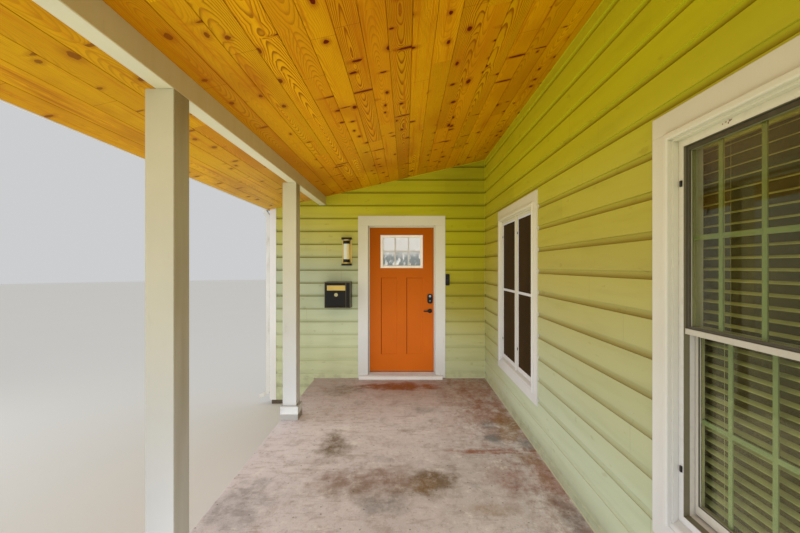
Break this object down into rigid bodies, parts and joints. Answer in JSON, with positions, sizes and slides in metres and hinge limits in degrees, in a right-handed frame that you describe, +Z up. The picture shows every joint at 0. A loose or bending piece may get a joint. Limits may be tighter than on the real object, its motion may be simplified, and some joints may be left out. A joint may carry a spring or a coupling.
{
  "type": "entrance porch",
  "caption": "Side-entry porch with a concrete slab, square posts and a sloping boarded roof between a sided house wall and a wing wall with a hinged entrance door.",
  "frame": {"origin": "centre of the porch slab's underside, at ground level", "axes": "+X across the porch towards the house wall, +Y along it towards the wing wall with the entrance door, +Z up"},
  "size_m": [3.2801, 6.448, 3.6051],
  "materials": {
    "worn_concrete": "worn, stained and sealed concrete",
    "foundation": "rough dirty concrete",
    "wall_core": "painted wall board over studs",
    "green_siding": "satin green paint on wooden drop siding",
    "white_trim": "satin white paint on wood",
    "cream_paint": "satin cream-white paint on wood",
    "stained_pine": "stained and sealed knotty pine",
    "raw_timber": "bare sawn timber",
    "roof_sheathing": "plywood",
    "shingle": "granule-faced asphalt shingle",
    "gutter_metal": "satin white enamel on sheet metal",
    "sill_metal": "worn mill finish",
    "hinge_metal": "satin",
    "orange_paint": "satin orange paint",
    "light_frame": "satin cream moulding",
    "clear_glass": "clear",
    "black_metal": "satin black",
    "white_vinyl": "satin vinyl",
    "window_glass": "clear and slightly green",
    "screen_mesh": "charcoal insect mesh",
    "blind_vinyl": "satin white slats",
    "lamp_brass": "brushed and lacquered",
    "opal_glass": "white opal glass",
    "black_plastic": "satin"
  },
  "bodies": {
    "root": {"slab": "worn_concrete", "foundation": "foundation", "house_wall": "wall_core", "wing_wall_left": "wall_core", "wing_wall_right": "wall_core", "wing_wall_header": "wall_core", "house_siding": "green_siding", "wing_siding": "green_siding", "corner_boards": "white_trim", "posts": "cream_paint", "post_bases": "cream_paint", "beam": "cream_paint", "ceiling_boards": "stained_pine", "rafters": "raw_timber", "roof_deck": "roof_sheathing", "roof_covering": "shingle", "fascia": "white_trim", "gutter": "gutter_metal", "downspout": "gutter_metal", "door_casing": "cream_paint", "door_frame": "cream_paint", "door_sill": "white_trim", "door_threshold": "sill_metal", "hinge_barrels": "hinge_metal", "window_casings": "cream_paint", "window_frames": "white_vinyl", "window_sashes": "white_vinyl", "window_panes": "window_glass", "screen_frames": "white_vinyl", "window_screens": "screen_mesh", "window_blind": "blind_vinyl", "wall_light_frame": "black_metal", "wall_light_plate": "lamp_brass", "wall_light_tube": "opal_glass", "mailbox_body": "black_metal", "doorbell": "black_plastic"},
    "door": {"door_leaf": "orange_paint", "door_light_frame": "light_frame", "door_light_glass": "clear_glass", "hinge_leaves": "hinge_metal", "deadbolt": "black_metal", "lever_roses": "black_metal"},
    "lever": {"lever_handle": "black_metal"},
    "mailbox_door": {"mailbox_door": "black_metal"},
    "mailbox_flap": {"mailbox_flap": "lamp_brass"}
  },
  "joints": [
    {"name": "door_swing", "type": "hinge", "parent": "root", "child": "door", "pos_m": [-0.4425, 3.106, 1.4], "axis": [0, 0, 1], "range_deg": [0, 95]},
    {"name": "lever_turn", "type": "hinge", "parent": "door", "child": "lever", "pos_m": [0.414, 3.05, 1.283], "axis": [0, -1, 0], "range_deg": [0, 45], "stiffness_Nm_per_rad": 1, "springref_deg": -34.38},
    {"name": "mailbox_door_drop", "type": "hinge", "parent": "root", "child": "mailbox_door", "pos_m": [-0.861, 2.776, 1.3735], "axis": [1, 0, 0], "range_deg": [0, 90]},
    {"name": "mailbox_flap_lift", "type": "hinge", "parent": "root", "child": "mailbox_flap", "pos_m": [-0.861, 2.776, 1.6515], "axis": [-1, 0, 0], "range_deg": [0, 70]}
  ]
}
